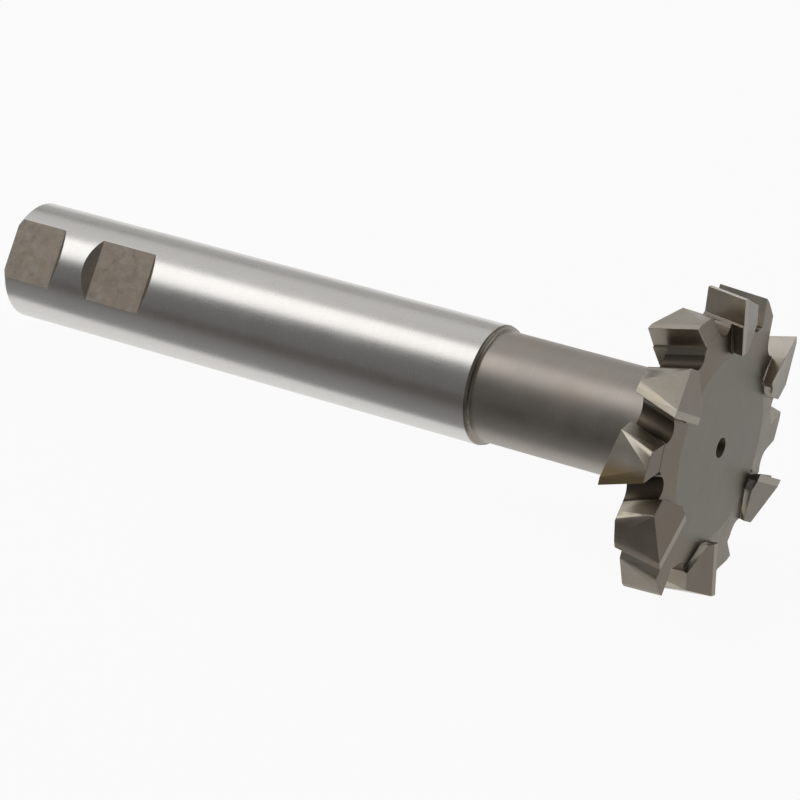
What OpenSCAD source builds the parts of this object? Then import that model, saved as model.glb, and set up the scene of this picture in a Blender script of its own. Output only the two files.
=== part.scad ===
// Staggered-tooth T-slot milling cutter, ground from one piece of high-speed steel.
// It is drawn standing on the end of its shank, with the tool axis on Z, and then laid down on
// two teeth and the rim of the shank end, as it comes to rest, with the head towards +X.
// A tooth is drawn at azimuth 0, with x radial, y towards the cutting direction and z = 0
// at the middle of the head's width. The teeth set to the back are mirror images of it.

/* [Shank] */
// Shank diameter
shank_d = 25.4; // [25.4:0.1:32]
// Length from the shank end to the shoulder
shank_len = 116.8; // [90:0.1:130]
// Chamfer at the shank end
end_chamfer = 0.8; // [0.5:0.1:1.5]
// Chamfer at the shoulder
shoulder_chamfer = 0.6; // [0.3:0.1:0.8]

/* [Clamping flats] */
// Depth of both flats below the shank surface
flat_depth = 1.9; // [1:0.05:2.5]
// Length of the flat that runs out at the shank end
end_flat_len = 12.2; // [8:0.1:14]
// Where the second flat starts
second_flat_start = 22.3; // [20:0.1:26]
// Length of the second flat
second_flat_len = 13.5; // [10:0.1:16]
// Slope of the flats' end walls, from the flat
flat_wall_angle = 45; // [40:1:80]

/* [Neck] */
// Neck diameter
neck_d = 23.4; // [20:0.1:23.8]
// Fillet radius between neck and shoulder
shoulder_fillet = 0.8; // [0.4:0.1:1]
// Fillet radius between neck and head
head_fillet = 2; // [1:0.1:3]

/* [Head] */
// Cutting diameter
head_d = 63.2; // [61:0.1:65]
// Cutting width, over both sets of side edges
head_w = 12.8; // [12.4:0.1:13.2]
// Length of the tool
tool_len = 169.8; // [165:0.1:180]
// Diameter of the flat hub face
hub_d = 38.4; // [36:0.1:40]
// How far the hub face lies below the side edges
hub_drop = 2.05; // [1.5:0.05:2.4]
// Mouth diameter of the centre holes
centre_d = 4.2; // [3:0.1:5]
// Pilot diameter of the centre holes
centre_pilot_d = 2.4; // [1.5:0.1:2.8]
// Depth of the centre holes
centre_depth = 6; // [4:0.5:10]

/* [Teeth] */
// Teeth in each of the two sets
set_teeth = 6; // [5:1:6]
// Azimuth of a front-set tooth at the middle of the width
first_tooth = 26; // [0:1:59]
// Lean of the teeth, to one side and the other in turn
helix = 17; // [12:0.5:20]
// How far a tooth is set back on the side where it does not cut
side_set = 3.3; // [2.6:0.1:4]
// Radial rake
rake = 8.5; // [6:0.5:11]
// Depth of the ground rake face
rake_depth = 5.6; // [5.2:0.1:6]
// Width of the step under the ground rake face
ledge = 1.6; // [1.4:0.1:2]
// Fall of that step towards the gullet, from square to the rake face
ledge_fall = 25; // [15:1:30]
// Depth of the gullet below the cutting diameter
gullet_depth = 7.6; // [7.3:0.1:7.8]
// Corner radius in the gullet
gullet_r = 2.6; // [2.4:0.1:2.9]
// Slope of the gullet's far wall, from the radius
gullet_back = 38; // [30:1:44]
// Width of the primary lands
land_w = 1.5; // [1:0.1:2]
// Relief of the primary land
land_relief = 8; // [5:0.5:10]
// Relief of the secondary land
land_back_relief = 24; // [18:0.5:28]
// Relief of the primary side land
side_relief = 3; // [2:0.5:5]
// Relief of the secondary side land
side_back_relief = 11; // [8:0.5:13]
// How far the side gash's wall stands ahead of the rake face
notch_step = 0.6; // [0.3:0.1:1]
// Depth of the side gash below the side edge
notch_depth = 3.8; // [3.6:0.1:4.4]
// Slope of the side gash's floor
notch_slope = 16; // [12:1:25]
// Where the raised side land ends behind the side edge, at the hub rim
pad_end = 3.4; // [2.5:0.1:4.5]
// Lean of that end from the radius
pad_lean = 52; // [45:1:60]

/* [Rest] */
// Azimuth that faces down as the tool lies, from the front-set tooth beside it
rest_turn = 14.01; // [13.8:0.01:14.2]
// Slope of the tool axis as it lies
rest_slope = 6.343; // [6.2:0.001:6.5]

/* [Hidden] */
$fn = 96;
steel = "#a39e96";
shank_r = shank_d / 2;
neck_r = neck_d / 2;
head_r = head_d / 2;
hub_r = hub_d / 2;
half_w = head_w / 2;
head_z = tool_len - half_w;
hub_z = half_w - hub_drop;
pitch = 180 / set_teeth;
reach = 2 * head_w;
// Overshoot of cutting shapes past the faces that they open
over = 1;
gullet_floor_r = head_r - gullet_depth;
// The tooth blocks' inner wall stands just outside the hub face, and they root in the core
block_r = hub_r + 0.5;
// The core reaches just past the steps in the gashes, a little proud of the teeth's relieved sides
core_r = head_r - rake_depth + 0.2;
core_proud = 0.05;
// A relieved side face is a cone from the hub rim to the set-back corner of a tooth
function relieved_z(r) = hub_z - (r - hub_r) * (side_set - hub_drop) / (head_r - hub_r);
function block_z(r) = relieved_z(r) - core_proud;
// Rake line in a section across the gash, where u is radial
function rake_v(u) = (u - head_r) * tan(rake);
// Side edge of a front-set tooth: its lean from the radius, and the rake face below it
edge_lean = atan(tan(rake) / cos(helix));
wall_lean = atan(tan(helix) * cos(edge_lean));

// Lying at rest: the corner that reaches furthest forward, the box's middle and the axis height
tip = [head_r, half_w * tan(helix)];
tip_drop = norm(tip) * cos(rest_turn - atan(tip.y / tip.x));
rest_front = tool_len * cos(rest_slope) + tip_drop * sin(rest_slope);
rest_back = -(shank_r - end_chamfer) * sin(rest_slope);
rest_mid = (rest_front + rest_back) / 2;
rest_lift = shank_r * cos(rest_slope) - end_chamfer * sin(rest_slope);

// Everything here that turns about the axis: shank, shoulder, neck and the head's core
module body_of_revolution() {
    rotate_extrude()
        polygon([
            [0, 0],
            [shank_r - end_chamfer, 0],
            [shank_r, end_chamfer],
            [shank_r, shank_len - shoulder_chamfer],
            [shank_r - shoulder_chamfer, shank_len],
            [neck_r, shank_len],
            [neck_r, head_z - hub_z],
            [hub_r, head_z - hub_z],
            [core_r, head_z - relieved_z(core_r)],
            [core_r, head_z + relieved_z(core_r)],
            [hub_r, head_z + hub_z],
            [0, head_z + hub_z],
        ]);
    translate([0, 0, shank_len])
        fillet_ring(shoulder_fillet);
    translate([0, 0, head_z - hub_z])
        mirror([0, 0, 1])
            fillet_ring(head_fillet);
}

// Concave fillet around the neck, on a face at z = 0
module fillet_ring(radius) {
    rotate_extrude()
        translate([neck_r, 0])
            difference() {
                translate([-over, -over])
                    square(radius + over);
                translate([radius, radius])
                    circle(radius);
            }
}

// Section across a gash: rake face, step, round gullet and far wall
module gash() {
    step_u = head_r - rake_depth;
    fall = rake + ledge_fall;
    rim = [step_u - ledge * sin(fall), rake_v(step_u) + ledge * cos(fall)];
    centre_u = gullet_floor_r + gullet_r;
    centre_v = rim.y + sqrt(gullet_r ^ 2 - (centre_u - rim.x) ^ 2);
    far_foot = [centre_u - gullet_r * sin(gullet_back), centre_v + gullet_r * cos(gullet_back)];
    mouth_u = head_r + 2 * over;
    mouth_v = far_foot.y + (mouth_u - far_foot.x) * tan(gullet_back);
    rotate([-helix, 0, 0]) {
        linear_extrude(reach, center = true)
            polygon([
                [mouth_u, rake_v(mouth_u)],
                [step_u, rake_v(step_u)],
                rim,
                far_foot,
                [mouth_u, mouth_v],
            ]);
        translate([centre_u, centre_v, 0])
            cylinder(r = gullet_r, h = reach, center = true);
    }
}

// Places a shape on the side edge: x along the edge, y in the cutting direction, z = 0 at its height
module on_side_edge() {
    translate([head_r, half_w * tan(helix), half_w])
        rotate([0, 0, edge_lean])
            children();
}

// Sweeps a section, drawn across the side edge, from inside the hub rim to past the cutting diameter
module along_side_edge(inner_r) {
    translate([inner_r - head_r, 0, 0])
        rotate([90, 0, 90])
            linear_extrude(head_r - inner_r + 3 * over)
                children();
}

// Side gash that opens the side edge, with a floor that rises towards the hub and runs out at its rim
module side_gash() {
    foot = notch_step - notch_depth * tan(wall_lean);
    run = head_r / 3;
    rise = atan((notch_depth - hub_drop) / (head_r - hub_r));
    on_side_edge()
        rotate([0, rise, 0])
            along_side_edge(hub_r - over)
                polygon([
                    [foot, -notch_depth],
                    [foot + run, run * tan(notch_slope) - notch_depth],
                    [foot + run, reach],
                    [notch_step + reach * tan(wall_lean), reach],
                ]);
}

// What the primary and secondary side reliefs take off the front of a tooth
module side_relief_cut() {
    land_end = -land_w * tan(side_relief);
    far_end = land_end - (head_r - land_w) * tan(side_back_relief);
    on_side_edge()
        along_side_edge(0)
            polygon([
                [over, over * tan(side_relief)],
                [-land_w, land_end],
                [-head_r, far_end],
                [-head_r, reach],
                [over, reach],
            ]);
}

// One front-set tooth with its lands, from just ahead of its rake face back into the next gash
module tooth() {
    land_end = [head_r - land_w * sin(land_relief), -land_w * cos(land_relief)];
    back_run = head_r * 2 / 3;
    far_end = land_end - back_run * [sin(land_back_relief), cos(land_back_relief)];
    ahead_v = rake_v(0) + over;
    intersection() {
        rotate([-helix, 0, 0])
            linear_extrude(reach, center = true)
                polygon([
                    [0, ahead_v],
                    [head_r + over * tan(land_relief), over],
                    land_end,
                    far_end,
                    [0, far_end.y],
                ]);
        rotate([0, 0, -pitch])
            rotate([helix, 0, 0])
                linear_extrude(reach, center = true)
                    polygon([
                        [0, ahead_v],
                        [head_d, rake_v(head_d) + over],
                        [head_d, head_d],
                        [0, head_d],
                    ]);
        union() {
            tooth_ring(block_z(head_r + over), block_z(block_r));
            side_pad();
        }
    }
}

// Ring that the teeth are cut from, with its front faces at the given heights
module tooth_ring(outer_z, inner_z) {
    rotate_extrude()
        polygon([
            [block_r, inner_z],
            [head_r + over, outer_z],
            [head_r + over, -block_z(head_r + over)],
            [block_r, -block_z(block_r)],
        ]);
}

// Raised land behind the side edge, which ends at a step
module side_pad() {
    pad_foot = [hub_r, -pad_end];
    pad_run = head_r * [cos(pad_lean), -sin(pad_lean)];
    difference() {
        intersection() {
            tooth_ring(half_w, half_w);
            linear_extrude(reach)
                polygon([
                    pad_foot - pad_run,
                    pad_foot + pad_run,
                    [head_d, head_d],
                ]);
        }
        side_relief_cut();
    }
}

// Repeats a front-set shape around the head, and its mirror image between the copies
module both_sets() {
    for (k = [0 : set_teeth - 1]) {
        rotate([0, 0, first_tooth + 2 * k * pitch])
            children();
        rotate([0, 0, first_tooth + (2 * k + 1) * pitch])
            mirror([0, 0, 1])
                children();
    }
}

// Section of both clamping flats along the shank, with sloped end walls, cut across the -Y side
module clamping_flats() {
    floor_y = -(shank_r - flat_depth);
    clear_y = floor_y - flat_depth - over;
    wall_run = (flat_depth + over) / tan(flat_wall_angle);
    end_flat = [
        [-over, floor_y],
        [end_flat_len, floor_y],
        [end_flat_len + wall_run, clear_y],
        [-over, clear_y],
    ];
    second_flat_end = second_flat_start + second_flat_len;
    second_flat = [
        [second_flat_start, floor_y],
        [second_flat_end, floor_y],
        [second_flat_end + wall_run, clear_y],
        [second_flat_start - wall_run, clear_y],
    ];
    for (outline = [end_flat, second_flat])
        rotate([0, -90, 0])
            linear_extrude(shank_d, center = true)
                polygon(outline);
}

// Drilled and countersunk centre hole, going down from z = 0
module centre_hole() {
    half_angle = 30;
    top_d = centre_d + 2 * over * tan(half_angle);
    cone_h = (top_d - centre_pilot_d) / 2 / tan(half_angle);
    translate([0, 0, over - cone_h])
        cylinder(d1 = centre_pilot_d, d2 = top_d, h = cone_h);
    translate([0, 0, -centre_depth])
        cylinder(d = centre_pilot_d, h = centre_depth);
}

module t_slot_cutter() {
    color(steel)
        difference() {
            union() {
                body_of_revolution();
                translate([0, 0, head_z])
                    both_sets()
                        tooth();
            }
            translate([0, 0, head_z])
                both_sets() {
                    gash();
                    side_gash();
                }
            clamping_flats();
            translate([0, 0, head_z + hub_z])
                centre_hole();
            mirror([0, 0, 1])
                centre_hole();
        }
}

// Lays a standing tool down, centred over the origin
module at_rest() {
    translate([-rest_mid, 0, rest_lift])
        rotate([0, 90 - rest_slope, 0])
            rotate([0, 0, -first_tooth - rest_turn])
                children();
}

at_rest() t_slot_cutter();
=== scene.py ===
"""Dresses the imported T-slot cutter with its ground and milled finishes, and sets it on a white table."""
import math

import bmesh
import bpy
import numpy as np
from bpy.props import FloatProperty, FloatVectorProperty, PointerProperty
from mathutils import Matrix, Vector


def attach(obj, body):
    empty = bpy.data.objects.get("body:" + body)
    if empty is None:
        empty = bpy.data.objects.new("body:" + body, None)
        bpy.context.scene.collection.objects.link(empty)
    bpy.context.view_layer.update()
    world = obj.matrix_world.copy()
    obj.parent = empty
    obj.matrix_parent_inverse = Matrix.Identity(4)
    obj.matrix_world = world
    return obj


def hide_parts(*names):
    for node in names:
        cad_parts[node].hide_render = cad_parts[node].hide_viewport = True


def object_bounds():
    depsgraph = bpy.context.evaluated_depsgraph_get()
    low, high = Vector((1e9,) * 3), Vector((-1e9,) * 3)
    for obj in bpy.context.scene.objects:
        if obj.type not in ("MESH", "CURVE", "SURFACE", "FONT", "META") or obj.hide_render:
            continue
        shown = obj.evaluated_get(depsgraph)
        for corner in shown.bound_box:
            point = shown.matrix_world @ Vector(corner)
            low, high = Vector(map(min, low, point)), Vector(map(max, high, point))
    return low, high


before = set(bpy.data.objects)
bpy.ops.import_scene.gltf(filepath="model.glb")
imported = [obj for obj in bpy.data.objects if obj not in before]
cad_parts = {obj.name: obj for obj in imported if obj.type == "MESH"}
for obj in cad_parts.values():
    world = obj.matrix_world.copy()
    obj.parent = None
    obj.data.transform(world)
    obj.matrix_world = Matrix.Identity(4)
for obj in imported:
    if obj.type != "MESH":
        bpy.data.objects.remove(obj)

bl_info = {
    "name": "T-slot cutter",
    "version": (1, 0, 0),
    "blender": (4, 5, 0),
    "location": "3D View > Sidebar > Cutter",
    "description": "Dresses a packed T-slot cutter and sets it on a white table",
    "category": "Object",
}

CAD_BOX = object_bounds()
CAD_NODE = "t_slot_cutter"
MM = 0.001

# How the tool lies, in degrees
REST_SLOPE = 6.343
REST_TURN = 40.01

# Sizes that tell the tool's surfaces apart, in millimetres in the standing tool's frame
SHANK_R = 12.7
END_CHAMFER = 0.8
SHANK_LEN = 116.8
SHOULDER = 1.2
NECK_R = 11.7
NECK_REACH = 2.5
NECK_END = 158.6
FLAT_Y = -10.8
FLATS_END = 38.2
HUB_R = 19.2
HEAD_R = 31.6
CONE_DROP = 1.25
RAKE_DEPTH = 5.6
STEP_REACH = 1.0
CENTRE_R = 2.2
CONE_SLOPE = math.atan(CONE_DROP / (HEAD_R - HUB_R))

# Tolerances of those sizes, and the least radius that is divided by, in millimetres
FINE = 0.01
SLACK = 0.1
LEAST_R = 1e-6

# Parts of a face's unit normal, along the axis, outwards from it and towards -Y, that tell faces apart
NONE = 0.01
CONE_NEAR = 0.0008
SLOPED = 0.2
WALL_MOST = 0.8
GAP_MOST = 0.7
SIDE_LEAST = 0.9
LAND_LEAST = 0.9975
HUB_LEAST = 0.9999
RAKE_LEAST = 0.1
RAKE_MOST = 0.6
RAKE_OUT = 0.3
GULLET_OUT = 0.25
STEP_OUT = 0.7
FLAT_LEAST = 0.6

# How the solid's loose triangles are joined, in metres, and the angle of a sharp edge, in radians
MERGE_DISTANCE = 1e-6
SLIVER = 1e-7
SHARP_ANGLE = math.radians(20)

# Middle of the cutting edge that heat has tinted gold, and the tint's reach, in the tool's millimetres
GOLD_PLACE = (14.3, -28.2, 161.7)
GOLD_FULL = 2.2
GOLD_END = 4.5
GOLD_STRETCH = (1, 1, 1 / 3)
GOLD_TINT = (0.86, 0.7, 0.46)

# Noise levels over which the steel's patches, warmth, grinding marks and stains come in
PATCH_LEVELS = (0.3, 0.7)
WARM_LEVELS = (0.42, 0.72)
MARK_LEVELS = (0.25, 0.75)
STAIN_LEVELS = (0.62, 0.74)
ROUGH_LEVELS = (0.25, 0.75)

# Largest shares and the gains of those changes, and the size of the stains' noise
WARM_SCALE = 0.55
WARM_SHARE = 0.55
MARK_SHARE = 0.22
MARK_GAIN = 0.72
STAIN_SCALE = 0.9
STAIN_GAIN = 0.4
ROUGH_GAINS = (0.88, 1.16)
MARK_HEIGHT = 0.00002

# How far the rounded normal turns at an edge, as a cosine, and the share and gain of the painted highlight
# that brightens the colour there
EDGE_LEVELS = (0.8, 0.99)
EDGE_HIGHLIGHT_SHARE = 0.5
EDGE_HIGHLIGHT_GAIN = 1.45

# Gain of the centre holes' colour over the gullets', painted shade that darkens the holes
HOLE_SHADE_GAIN = 0.5

# Half the width of the table in metres, and the share of plain white in it where it is seen
TABLE_HALF = 5
WHITE_SHARE = 0.93

# Edge of the dark card beside the tool, and where its tone starts to rise towards it, in metres
FLAG_EDGE = -0.0175
FLAG_FADE = -0.075

# Stretch of the neck over which the card turns to its tone beside the head, in metres
FLAG_NECK = 0.045
FLAG_HEAD = 0.068

# Corners and sizes of the dark card and of the pale upright one behind, in metres
FLAG_CORNER = (-2, -4, 0.001)
BACK_CORNER = (-2.5, 1.2, 0)
CARD_WIDTH = 4
BACK_HEIGHT = 0.6

# Places, targets, widths and heights of the softboxes, in metres
KEY_BOX = ((-0.55, -0.205, 0.775), (0, 0, 0.03), 0.52, 1.0)
BACK_BOX = ((-0.6, 0.6, 0.8), (0, 0, 0.03), 1.6, 0.7)
FILL_BOX = ((0.62, 0.5, 0.62), (0.06, 0, 0.03), 0.8, 0.8)

# Width of the camera's sensor in millimetres, and its nearest sight in metres
SENSOR = 36.0
NEAREST = 0.01

FINISHES = ["ground_shank", "milled_flat", "dull_neck", "hub_face", "head_side", "ground_tooth",
            "rake_face", "dull_and_shaded_step", "side_land", "unground", "centre_hole"]


class FinishSettings(bpy.types.PropertyGroup):
    """Colours and roughness of the cutter's finishes"""

    shank_color: FloatVectorProperty(
        name="Shank", description="Colour of the cylindrically ground shank",
        default=(0.66, 0.645, 0.62), size=3, min=0, max=1, subtype="COLOR")
    neck_color: FloatVectorProperty(
        name="Neck", description="Colour of the turned neck, dull from hardening",
        default=(0.41, 0.375, 0.34), size=3, min=0, max=1, subtype="COLOR")
    flat_color: FloatVectorProperty(
        name="Flats", description="Colour of the milled clamping flats",
        default=(0.38, 0.335, 0.285), size=3, min=0, max=1, subtype="COLOR")
    # Painted shade, partly: the hub is given a dark colour that stands in for the shade of the table it
    # mirrors beside the head, besides its own brown-grey.
    hub_color: FloatVectorProperty(
        name="Hub", description="Colour of the hub faces",
        default=(0.153, 0.137, 0.115), size=3, min=0, max=1, subtype="COLOR")
    # Painted shade, partly: the head's sides are darkened in the same way as the hub, for the shaded table
    # they mirror.
    side_color: FloatVectorProperty(
        name="Head sides", description="Colour of the relieved sides of the head",
        default=(0.149, 0.126, 0.1), size=3, min=0, max=1, subtype="COLOR")
    # Partly painted shade: the steps under the rakes and the walls by the side lands get this darker colour
    # for the shade there, the shoulder for its dull finish.
    step_color: FloatVectorProperty(
        name="Steps", description="Colour of the shoulder and of the steps and walls at the teeth",
        default=(0.28, 0.255, 0.22), size=3, min=0, max=1, subtype="COLOR")
    tooth_color: FloatVectorProperty(
        name="Teeth", description="Colour of the ground tooth faces",
        default=(0.455, 0.418, 0.362), size=3, min=0, max=1, subtype="COLOR")
    rake_color: FloatVectorProperty(
        name="Rake faces", description="Colour of the ground rake faces",
        default=(0.64, 0.595, 0.525), size=3, min=0, max=1, subtype="COLOR")
    land_color: FloatVectorProperty(
        name="Side lands", description="Colour of the narrow lands along the side edges",
        default=(0.235, 0.213, 0.173), size=3, min=0, max=1, subtype="COLOR")
    # Partly painted shade: the gullets' brown from hardening is set darker still, standing in for the shade
    # in the gullets.
    brown_shaded_gullet_color: FloatVectorProperty(
        name="Unground", description="Colour of the gullets, brown from hardening",
        default=(0.15, 0.125, 0.10), size=3, min=0, max=1, subtype="COLOR")
    shank_roughness: FloatProperty(
        name="Shank roughness", description="Roughness of the ground shank",
        default=0.27, min=0, max=1, subtype="FACTOR")
    neck_roughness: FloatProperty(
        name="Neck roughness", description="Roughness of the turned neck",
        default=0.42, min=0, max=1, subtype="FACTOR")
    tooth_roughness: FloatProperty(
        name="Tooth roughness", description="Roughness of the ground tooth faces",
        default=0.3, min=0, max=1, subtype="FACTOR")
    # Also the width of the painted highlight that brightens the colour along the edges.
    edge_width: FloatProperty(
        name="Edge width", description="Width over which the ground edges catch the light",
        default=0.00018, min=0, max=0.001, unit="LENGTH")


class StageSettings(bpy.types.PropertyGroup):
    """Light, table and camera"""

    key_power: FloatProperty(
        name="Key", description="Power of the softbox above the shank, in watts", default=2.41, min=0)
    back_power: FloatProperty(
        name="Back", description="Power of the softbox behind, in watts", default=2.0, min=0)
    fill_power: FloatProperty(
        name="Fill", description="Power of the softbox on the head's side, in watts", default=1.4, min=0)
    room_level: FloatProperty(
        name="Room", description="Brightness of the room around the table",
        default=0.18, min=0, max=1, subtype="FACTOR")
    table_color: FloatVectorProperty(
        name="Table", description="Colour of the table",
        default=(0.9, 0.9, 0.905), size=3, min=0, max=1, subtype="COLOR")
    flag_color: FloatVectorProperty(
        name="Flag", description="Colour of the dark card that the steel mirrors in front",
        default=(0.12, 0.112, 0.105), size=3, min=0, max=1, subtype="COLOR")
    # Painted shade: the card's glow rises towards these two colours beside the tool, a painted soft edge and
    # the shade of the table beside the shank and the head.
    flag_near_color: FloatVectorProperty(
        name="Flag edge", description="Colour of the card's edge beside the tool",
        default=(0.33, 0.33, 0.335), size=3, min=0, max=1, subtype="COLOR")
    flag_head_color: FloatVectorProperty(
        name="Flag at head", description="Colour of the card's edge beside the head",
        default=(0.52, 0.51, 0.5), size=3, min=0, max=1, subtype="COLOR")
    back_color: FloatVectorProperty(
        name="Back card", description="Colour of the upright card that the steel mirrors behind",
        default=(0.5, 0.495, 0.485), size=3, min=0, max=1, subtype="COLOR")
    lens: FloatProperty(
        name="Lens", description="Focal length in millimetres", default=147.95, min=10)
    camera_place: FloatVectorProperty(
        name="Camera", description="Where the camera stands",
        default=(0.28312, -0.49651, 0.40212), size=3, unit="LENGTH")
    camera_azimuth: FloatProperty(
        name="Azimuth", description="How far round the camera stands from the near side",
        default=math.radians(28.96), unit="ROTATION")
    camera_elevation: FloatProperty(
        name="Elevation", description="How far the camera looks down",
        default=math.radians(34.45), unit="ROTATION")
    camera_roll: FloatProperty(
        name="Roll", description="How far the camera leans to its left",
        default=math.radians(4.05), unit="ROTATION")


def tool_axes():
    """Rotation from the standing tool to the lying one, and the place of its shank end.

    The tool is turned by REST_TURN about its own axis, then tipped until the axis rises by
    REST_SLOPE towards +X. The shank end's lowest rim point touches z = 0, and the box's near
    end is the shank end's upper rim.
    """
    slope = math.radians(REST_SLOPE)
    turn = Matrix.Rotation(-math.radians(REST_TURN), 3, "Z")
    turned = Matrix.Rotation(math.pi / 2 - slope, 3, "Y") @ turn
    back = (SHANK_R - END_CHAMFER) * MM * math.sin(slope)
    height = (SHANK_R * math.cos(slope) - END_CHAMFER * math.sin(slope)) * MM
    return np.array(turned), np.array([CAD_BOX[0][0] + back, 0.0, height])


def tool_coordinates(points):
    """Points of the row frame in the standing tool's frame, in millimetres."""
    rotation, place = tool_axes()
    return (points - place) @ rotation / MM


def read_vectors(items, key):
    """One vector of each item of a mesh, as rows of three numbers."""
    values = np.empty(len(items) * 3, np.float32)
    items.foreach_get(key, values)
    return values.reshape(-1, 3).astype(float)


def read_indices(items, key):
    """One whole number of each item of a mesh."""
    values = np.empty(len(items), np.int32)
    items.foreach_get(key, values)
    return values


def finish_of_faces(centre, normal):
    """Index of each face's finish from its centre and normal in the tool's frame.

    Shank, shoulder, neck and head follow each other along the axis. Flats lie below the
    shank's surface on its -Y side. On the head, a face square to the axis inside the hub rim
    is the hub, one that leans from it by the primary relief is a side land, and other faces
    that look along the axis are the head's sides. A face that looks around the axis is a rake
    face. One well below the cutting diameter that looks outwards is a gullet, or the step
    under the rake. The walls behind the side lands have the step's finish, and the rest is
    ground. Each rule overrides those before it.
    """
    radius = np.hypot(centre[:, 0], centre[:, 1])
    outward = (centre[:, 0] * normal[:, 0] + centre[:, 1] * normal[:, 1]) / np.maximum(radius, LEAST_R)
    axial = np.abs(normal[:, 2])
    along = centre[:, 2]
    finish = np.full(len(centre), FINISHES.index("ground_tooth"))

    on_shank = along < SHANK_LEN + FINE
    finish[on_shank] = FINISHES.index("ground_shank")
    on_flats = (along < FLATS_END) & (normal[:, 1] < -FLAT_LEAST) & (np.abs(normal[:, 0]) < NONE)
    sunk = (centre[:, 1] > FLAT_Y - SLACK) | (axial > SLOPED)
    finish[on_flats & sunk & (axial < WALL_MOST)] = FINISHES.index("milled_flat")
    on_neck = (along > SHANK_LEN + FINE) & (radius < NECK_R + NECK_REACH) & (along < NECK_END)
    finish[on_neck] = FINISHES.index("dull_neck")
    inside = (radius > NECK_R + SLACK / 2) & (radius < SHANK_R - SLACK)
    on_shoulder = (np.abs(along - SHANK_LEN) < SHOULDER) & (inside | (axial > SLOPED))
    finish[on_shoulder] = FINISHES.index("dull_and_shaded_step")

    on_head = along > NECK_END
    finish[on_head & (axial > SIDE_LEAST)] = FINISHES.index("head_side")
    finish[on_head & (axial > HUB_LEAST) & (radius < HUB_R + SLACK)] = FINISHES.index("hub_face")
    leaning = (axial > LAND_LEAST) & (axial < HUB_LEAST)
    finish[on_head & leaning & (radius > HUB_R)] = FINISHES.index("side_land")
    in_gap = on_head & (axial < GAP_MOST) & (radius < HEAD_R - RAKE_DEPTH + SLACK)
    on_step = (radius > HEAD_R - RAKE_DEPTH - STEP_REACH) & (outward > STEP_OUT)
    # Gullets: their colour holds painted shade as well as the brown from hardening.
    finish[in_gap & (outward > GULLET_OUT)] = FINISHES.index("unground")
    # The step under the rake and the walls behind the side lands take the step colour, darkened as painted
    # shade.
    finish[in_gap & on_step] = FINISHES.index("dull_and_shaded_step")
    finish[on_head & (axial < NONE) & (radius > HUB_R)] = FINISHES.index("dull_and_shaded_step")
    on_rake = (axial > RAKE_LEAST) & (axial < RAKE_MOST) & (np.abs(outward) < RAKE_OUT)
    finish[on_head & on_rake] = FINISHES.index("rake_face")
    finish[(radius < CENTRE_R) & (axial < SIDE_LEAST)] = FINISHES.index("centre_hole")
    return finish


class NodeDesk:
    """Short way to add nodes to a tree, link them and set their constants."""

    def __init__(self, tree):
        self.tree = tree
        tree.nodes.clear()

    def add(self, kind, settings=None, **inputs):
        """Adds a node; settings are its properties, inputs its sockets by name or as i0, i1."""
        made = self.tree.nodes.new(kind)
        for key, value in (settings or {}).items():
            setattr(made, key, value)
        for key, value in inputs.items():
            place = int(key[1:]) if key[1:].isdigit() else key.replace("_", " ")
            socket = made.inputs[place]
            if isinstance(value, bpy.types.NodeSocket):
                self.tree.links.new(value, socket)
            else:
                socket.default_value = value
        return made

    def vector(self, operation, first, second=(0, 0, 0)):
        """One step of vector arithmetic, with a vector as its result."""
        return self.add("ShaderNodeVectorMath", {"operation": operation}, i0=first, i1=second).outputs[0]

    def measure(self, operation, first, second=(0, 0, 0)):
        """One step of vector arithmetic, with a number as its result."""
        made = self.add("ShaderNodeVectorMath", {"operation": operation}, i0=first, i1=second)
        return made.outputs["Value"]

    def noise(self, vector, scale, detail=3.0, roughness=0.55):
        """Noise value of a vector that has been stretched by scale along each axis."""
        stretched = self.vector("MULTIPLY", vector, scale)
        return self.add("ShaderNodeTexNoise", Vector=stretched, Scale=1.0,
                        Detail=detail, Roughness=roughness).outputs["Fac"]

    def spread(self, value, low, high, to_low=0.0, to_high=1.0):
        """Maps low..high to to_low..to_high and clamps."""
        return self.add("ShaderNodeMapRange", i0=value, i1=low, i2=high, i3=to_low, i4=to_high).outputs[0]

    def math(self, operation, first, second):
        """One arithmetic step."""
        return self.add("ShaderNodeMath", {"operation": operation}, i0=first, i1=second).outputs[0]

    def blend(self, factor, first, second):
        """Mixes two colours."""
        made = self.add("ShaderNodeMix", {"data_type": "RGBA"}, i0=factor, i6=first, i7=second)
        return made.outputs[2]


def shade(color, gain):
    """Colour scaled by one gain or by a gain for each channel, with alpha."""
    gains = gain if isinstance(gain, tuple) else (gain,) * 3
    return tuple(c * g for c, g in zip(color, gains)) + (1.0,)


def new_material(name):
    """Empty material, and a desk for its nodes."""
    material = bpy.data.materials.new(name)
    material.use_nodes = True
    return material, NodeDesk(material.node_tree)


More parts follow.
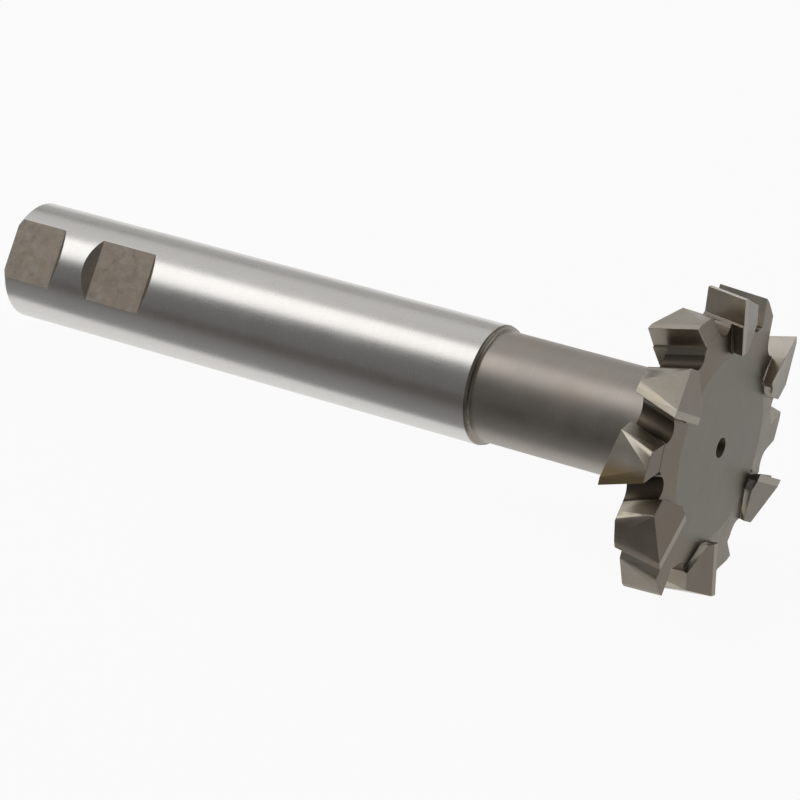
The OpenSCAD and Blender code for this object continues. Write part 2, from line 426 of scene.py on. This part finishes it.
def steel_finish(name, color, roughness, lay, lay_depth, cloud_scale, cloud, tint,
                 spots=0.0, edge_width=0.0, gold=None):
    """Steel whose grinding marks, clouds and stains read the tool's own coordinates in millimetres.

    lay is the noise's stretch along the tool's x, y and z, so marks run along the axis with
    the smallest number, and lay_depth is their strength. cloud is the spread of brightness of
    soft patches of cloud_scale, tint the gain of the warmer patches, spots the share of small
    stains. gold is the middle of a heat tint that reaches further along the axis than across.
    """
    material, desk = new_material(name)
    tool = desk.add("ShaderNodeAttribute", {"attribute_name": "tool"}).outputs["Vector"]
    marks = desk.noise(tool, lay, detail=2.0)
    patches = desk.noise(tool, (cloud_scale,) * 3)
    warmth = desk.noise(tool, (cloud_scale * WARM_SCALE,) * 3, detail=2.0)
    body = desk.blend(desk.spread(patches, *PATCH_LEVELS), shade(color, 1 - cloud), shade(color, 1 + cloud))
    body = desk.blend(desk.spread(warmth, *WARM_LEVELS, 0.0, WARM_SHARE), body, shade(color, tint))
    body = desk.blend(desk.spread(marks, *MARK_LEVELS, 0.0, MARK_SHARE), body, shade(color, MARK_GAIN))
    if spots:
        stains = desk.noise(tool, (STAIN_SCALE,) * 3, detail=4.0, roughness=0.7)
        body = desk.blend(desk.spread(stains, *STAIN_LEVELS, 0.0, spots), body, shade(color, STAIN_GAIN))
    if gold:
        offset = desk.vector("MULTIPLY", desk.vector("SUBTRACT", tool, gold), GOLD_STRETCH)
        tinted = desk.spread(desk.measure("LENGTH", offset), GOLD_FULL, GOLD_END, 1.0, 0.0)
        body = desk.blend(tinted, body, shade(color, GOLD_TINT))
    low, high = ROUGH_GAINS
    rough = desk.spread(patches, *ROUGH_LEVELS, roughness * low, roughness * high)
    bump = desk.add("ShaderNodeBump", Strength=lay_depth, Distance=MARK_HEIGHT, Height=marks)
    if edge_width:
        rounded = desk.add("ShaderNodeBevel", {"samples": 4}, Radius=edge_width).outputs[0]
        plain = desk.add("ShaderNodeNewGeometry").outputs["Normal"]
        # Painted highlight: along the edges, where the rounded normal turns from the face's own, the colour
        # is brightened.
        edge = desk.spread(desk.measure("DOT_PRODUCT", rounded, plain), *EDGE_LEVELS, EDGE_HIGHLIGHT_SHARE, 0.0)
        body = desk.blend(edge, body, shade(color, EDGE_HIGHLIGHT_GAIN))
        desk.tree.links.new(rounded, bump.inputs["Normal"])
    surface = desk.add("ShaderNodeBsdfPrincipled", Base_Color=body, Metallic=1.0, Roughness=rough,
                       Normal=bump.outputs[0])
    desk.add("ShaderNodeOutputMaterial", Surface=surface.outputs[0])
    return material


def cutter_finishes(look):
    """The finishes in the order of FINISHES."""
    edge = look.edge_width
    tooth_rough = look.tooth_roughness
    # Painted shade: the centre hole takes the gullets' colour, darkened further.
    shaded_hole_color = shade(look.brown_shaded_gullet_color, HOLE_SHADE_GAIN)[:3]
    along_axis = (2.4, 2.4, 0.12)
    round_axis = (0.12, 0.12, 9.0)
    across = (1.6, 1.6, 2.6)
    under_edge = (0.3, 0.3, 3.2)
    return [
        steel_finish("ground_shank", look.shank_color, look.shank_roughness, lay=round_axis, lay_depth=0.12,
                     cloud_scale=0.09, cloud=0.03, tint=(1.0, 0.985, 0.96), edge_width=edge),
        steel_finish("milled_flat", look.flat_color, roughness=0.42, lay=(3.5, 0.3, 0.5), lay_depth=0.5,
                     cloud_scale=0.6, cloud=0.22, tint=(1.06, 0.97, 0.86), spots=0.75, edge_width=edge),
        steel_finish("dull_neck", look.neck_color, look.neck_roughness, lay=(0.15, 0.15, 5.0), lay_depth=0.4,
                     cloud_scale=0.14, cloud=0.07, tint=(1.04, 0.97, 0.88), edge_width=edge),
        steel_finish("hub_face", look.hub_color, roughness=0.4, lay=across, lay_depth=0.2,
                     cloud_scale=0.16, cloud=0.18, tint=(0.96, 1.06, 0.92), edge_width=edge),
        steel_finish("head_side", look.side_color, roughness=0.36, lay=across, lay_depth=0.2,
                     cloud_scale=0.22, cloud=0.1, tint=(1.03, 0.97, 0.88), spots=0.2, edge_width=edge),
        steel_finish("ground_tooth", look.tooth_color, tooth_rough, lay=along_axis, lay_depth=0.3,
                     cloud_scale=0.2, cloud=0.09, tint=(0.98, 0.9, 0.7), spots=0.25, edge_width=edge,
                     gold=GOLD_PLACE),
        steel_finish("rake_face", look.rake_color, tooth_rough, lay=under_edge, lay_depth=0.3,
                     cloud_scale=0.28, cloud=0.12, tint=(1.02, 0.97, 0.85), spots=0.3, edge_width=edge),
        steel_finish("dull_and_shaded_step", look.step_color, tooth_rough, lay=under_edge, lay_depth=0.3,
                     cloud_scale=0.28, cloud=0.1, tint=(1.02, 0.97, 0.85), spots=0.2, edge_width=edge),
        steel_finish("side_land", look.land_color, tooth_rough, lay=across, lay_depth=0.2,
                     cloud_scale=0.3, cloud=0.05, tint=(1.0, 0.98, 0.9), edge_width=edge),
        steel_finish("unground", look.brown_shaded_gullet_color, roughness=0.45, lay=(0.5, 0.5, 3.0), lay_depth=0.4,
                     cloud_scale=0.25, cloud=0.14, tint=(1.06, 0.95, 0.78), spots=0.4, edge_width=edge),
        steel_finish("centre_hole", shaded_hole_color, roughness=0.5, lay=round_axis, lay_depth=0.3,
                     cloud_scale=0.3, cloud=0.1, tint=(1.05, 0.95, 0.8)),
    ]


def exact_normals(mesh, finish):
    """Corner normals: exact on the ground cylinders, cones and flat faces, the mesh's own elsewhere.

    On a cylinder about the tool axis the normal is the point's offset e from the axis over its
    length. On a coned side of the head it is e sin(slope) + k cos(slope), with k along the
    axis. On the clamping flats and the other sides of the head it is the face's own normal.
    That keeps reflections even across long, unevenly cut triangles.
    """
    rotation, _ = tool_axes()
    corner_normal = read_vectors(mesh.corner_normals, "vector")
    tool = tool_coordinates(read_vectors(mesh.vertices, "co"))[read_indices(mesh.loops, "vertex_index")]
    face = np.repeat(np.arange(len(mesh.polygons)), read_indices(mesh.polygons, "loop_total"))
    face_tool = (read_vectors(mesh.polygons, "normal") @ rotation)[face]
    radius = np.hypot(tool[:, 0], tool[:, 1])
    axial = np.abs(face_tool[:, 2])
    side = np.sign(face_tool[:, 2])
    radial = np.c_[tool[:, :2] / np.maximum(radius, LEAST_R)[:, None], np.zeros(len(tool))]

    round_face = np.isin(finish[face], [FINISHES.index("ground_shank"), FINISHES.index("dull_neck")])
    on_wall = round_face & (axial < NONE) & (radius > NECK_R - SLACK)
    corner_normal[on_wall] = radial[on_wall] @ rotation.T

    on_flat = finish[face] == FINISHES.index("milled_flat")
    on_side = (axial > SIDE_LEAST) & (tool[:, 2] > NECK_END) & (radius > CENTRE_R - 2 * SLACK)
    own = on_flat | on_side
    corner_normal[own] = face_tool[own] @ rotation.T

    rise, fall = math.cos(CONE_SLOPE), math.sin(CONE_SLOPE)
    leans_out = np.abs((radial * face_tool).sum(1) - fall) < NONE
    on_cone = on_side & (np.abs(axial - rise) < CONE_NEAR) & leans_out
    cone = radial * fall + np.c_[np.zeros((len(tool), 2)), side * rise]
    corner_normal[on_cone] = cone[on_cone] @ rotation.T
    return corner_normal


class CUTTER_OT_dress(bpy.types.Operator):
    """Copies the cutter's solid, joins its triangles, and gives each surface its finish"""

    bl_idname = "cutter.dress"
    bl_label = "Cutter"

    def execute(self, context):
        mesh = self.joined_copy()
        rotation, _ = tool_axes()
        finish = finish_of_faces(tool_coordinates(read_vectors(mesh.polygons, "center")),
                                 read_vectors(mesh.polygons, "normal") @ rotation)
        for material in cutter_finishes(context.scene.cutter_finish):
            mesh.materials.append(material)
        mesh.polygons.foreach_set("material_index", finish.astype(np.int32))
        tool = tool_coordinates(read_vectors(mesh.vertices, "co")).astype(np.float32)
        mesh.attributes.new("tool", "FLOAT_VECTOR", "POINT").data.foreach_set("vector", tool.ravel())
        mesh.normals_split_custom_set(exact_normals(mesh, finish))
        mesh.update()

        piece = bpy.data.objects.new("cutter", mesh)
        context.scene.collection.objects.link(piece)
        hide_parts(CAD_NODE)
        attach(piece, "root")
        return {"FINISHED"}

    def joined_copy(self):
        """Copy of the solid's mesh with its triangles joined, smooth but for its sharp edges."""
        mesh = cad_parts[CAD_NODE].data.copy()
        mesh.name = "cutter"
        mesh.materials.clear()
        shape = bmesh.new()
        shape.from_mesh(mesh)
        bmesh.ops.remove_doubles(shape, verts=shape.verts, dist=MERGE_DISTANCE)
        bmesh.ops.dissolve_degenerate(shape, edges=shape.edges, dist=SLIVER)
        shape.to_mesh(mesh)
        shape.free()
        mesh.shade_smooth()
        mesh.set_sharp_from_angle(angle=SHARP_ANGLE)
        return mesh


def softbox(name, place, target, width, height, power):
    """Rectangular soft lamp at a place, turned to a target."""
    lamp = bpy.data.lights.new(name, "AREA")
    lamp.shape = "RECTANGLE"
    lamp.size = width
    lamp.size_y = height
    lamp.energy = power
    holder = bpy.data.objects.new(name, lamp)
    holder.location = place
    holder.rotation_euler = (Vector(target) - Vector(place)).to_track_quat("-Z", "Y").to_euler()
    bpy.context.scene.collection.objects.link(holder)


def table_finish(color):
    """White table: lit paper, brought up to white where the camera or a reflection sees it."""
    material, desk = new_material("white_table")
    path = desk.add("ShaderNodeLightPath").outputs
    paper = desk.add("ShaderNodeBsdfDiffuse", Color=tuple(color) + (1.0,))
    white = desk.add("ShaderNodeEmission", Color=(1, 1, 1, 1), Strength=1.0)
    mirrored = desk.math("ADD", path["Is Glossy Ray"], path["Is Transmission Ray"])
    seen = desk.math("MULTIPLY", desk.math("MAXIMUM", path["Is Camera Ray"], mirrored), WHITE_SHARE)
    mixed = desk.add("ShaderNodeMixShader", i0=seen, i1=paper.outputs[0], i2=white.outputs[0])
    desk.add("ShaderNodeOutputMaterial", Surface=mixed.outputs[0])
    return material


def card_finish(name, color, near_color, head_color):
    """Card that glows with its own tone, rising to near_color towards the shank and to head_color towards
    the head: a painted soft shadow where the dark card meets the white table.
    """
    material, desk = new_material(name)
    place = desk.add("ShaderNodeTexCoord").outputs["Object"]
    parts = desk.add("ShaderNodeSeparateXYZ", Vector=place).outputs
    by_head = desk.spread(parts["X"], FLAG_NECK, FLAG_HEAD)
    edge = desk.blend(by_head, shade(near_color, 1), shade(head_color, 1))
    tone = desk.blend(desk.spread(parts["Y"], FLAG_FADE, FLAG_EDGE), shade(color, 1), edge)
    glow = desk.add("ShaderNodeEmission", Color=tone, Strength=1.0)
    desk.add("ShaderNodeOutputMaterial", Surface=glow.outputs[0])
    return material


def sheet(name, corner, across, up, material):
    """Rectangle of the stage: corner + u across + v up, with u and v at 0 and 1."""
    u, v = np.meshgrid((0, 1), (0, 1))
    mesh = bpy.data.meshes.new(name)
    points = np.array(corner) + u.reshape(-1, 1) * np.array(across) + v.reshape(-1, 1) * np.array(up)
    mesh.from_pydata(points, [], [(0, 1, 3, 2)])
    mesh.materials.append(material)
    made = bpy.data.objects.new(name, mesh)
    bpy.context.scene.collection.objects.link(made)
    return made


class CUTTER_OT_stage(bpy.types.Operator):
    """Sets up the white table, the lamps, the room and the camera"""

    bl_idname = "cutter.stage"
    bl_label = "Stage"

    def execute(self, context):
        look = context.scene.cutter_stage
        self.set_table(look)
        self.set_light(context, look)
        self.set_camera(context, look)
        context.scene.view_settings.view_transform = "Standard"
        return {"FINISHED"}

    def set_table(self, look):
        """A white table, and a dark card in front and a pale one behind that only reflections see."""
        width = 2 * TABLE_HALF
        sheet("table", (-TABLE_HALF, -TABLE_HALF, 0), (width, 0, 0), (0, width, 0),
              table_finish(look.table_color))
        dark = card_finish("dark_card", look.flag_color, look.flag_near_color, look.flag_head_color)
        pale = card_finish("pale_card", look.back_color, look.back_color, look.back_color)
        front = sheet("flag", FLAG_CORNER, (CARD_WIDTH, 0, 0), (0, FLAG_EDGE - FLAG_CORNER[1], 0), dark)
        behind = sheet("back_card", BACK_CORNER, (CARD_WIDTH, 0, 0), (0, 0, BACK_HEIGHT), pale)
        for card in (front, behind):
            card.visible_camera = False
            card.visible_diffuse = False
            card.visible_shadow = False

    def set_light(self, context, look):
        """A softbox over the shank, others behind and on the head's side, and an even room."""
        softbox("key", *KEY_BOX, look.key_power)
        softbox("back", *BACK_BOX, look.back_power)
        softbox("fill", *FILL_BOX, look.fill_power)
        world = bpy.data.worlds.new("room")
        context.scene.world = world
        world.use_nodes = True
        desk = NodeDesk(world.node_tree)
        room = desk.add("ShaderNodeBackground", Color=(1, 1, 1, 1), Strength=look.room_level)
        desk.add("ShaderNodeOutputWorld", Surface=room.outputs[0])

    def set_camera(self, context, look):
        """Camera at the photographed angle: tipped down, turned round and leaned about its own axis."""
        camera = bpy.data.cameras.new("camera")
        camera.lens = look.lens
        camera.sensor_width = SENSOR
        camera.clip_start = NEAREST
        holder = bpy.data.objects.new("camera", camera)
        turn = Matrix.Rotation(look.camera_azimuth, 4, "Z")
        tip = Matrix.Rotation(math.pi / 2 - look.camera_elevation, 4, "X")
        lean = Matrix.Rotation(look.camera_roll, 4, "Z")
        holder.matrix_world = Matrix.Translation(Vector(look.camera_place)) @ turn @ tip @ lean
        context.scene.collection.objects.link(holder)
        context.scene.camera = holder


class CUTTER_PT_panel(bpy.types.Panel):
    """Lists the cutter's operators and settings"""

    bl_idname = "CUTTER_PT_panel"
    bl_label = "T-slot cutter"
    bl_space_type = "VIEW_3D"
    bl_region_type = "UI"
    bl_category = "Cutter"

    def draw(self, context):
        for operator in (CUTTER_OT_dress, CUTTER_OT_stage):
            self.layout.operator(operator.bl_idname)
        for group in (context.scene.cutter_finish, context.scene.cutter_stage):
            for key in group.__annotations__:
                self.layout.prop(group, key)


CLASSES = (FinishSettings, StageSettings, CUTTER_OT_dress, CUTTER_OT_stage, CUTTER_PT_panel)


def register():
    for cls in CLASSES:
        bpy.utils.register_class(cls)
    bpy.types.Scene.cutter_finish = PointerProperty(type=FinishSettings)
    bpy.types.Scene.cutter_stage = PointerProperty(type=StageSettings)


def unregister():
    del bpy.types.Scene.cutter_stage
    del bpy.types.Scene.cutter_finish
    for cls in reversed(CLASSES):
        bpy.utils.unregister_class(cls)


def main():
    register()
    bpy.ops.cutter.dress()
    bpy.ops.cutter.stage()


if __name__ == "__main__":
    main()
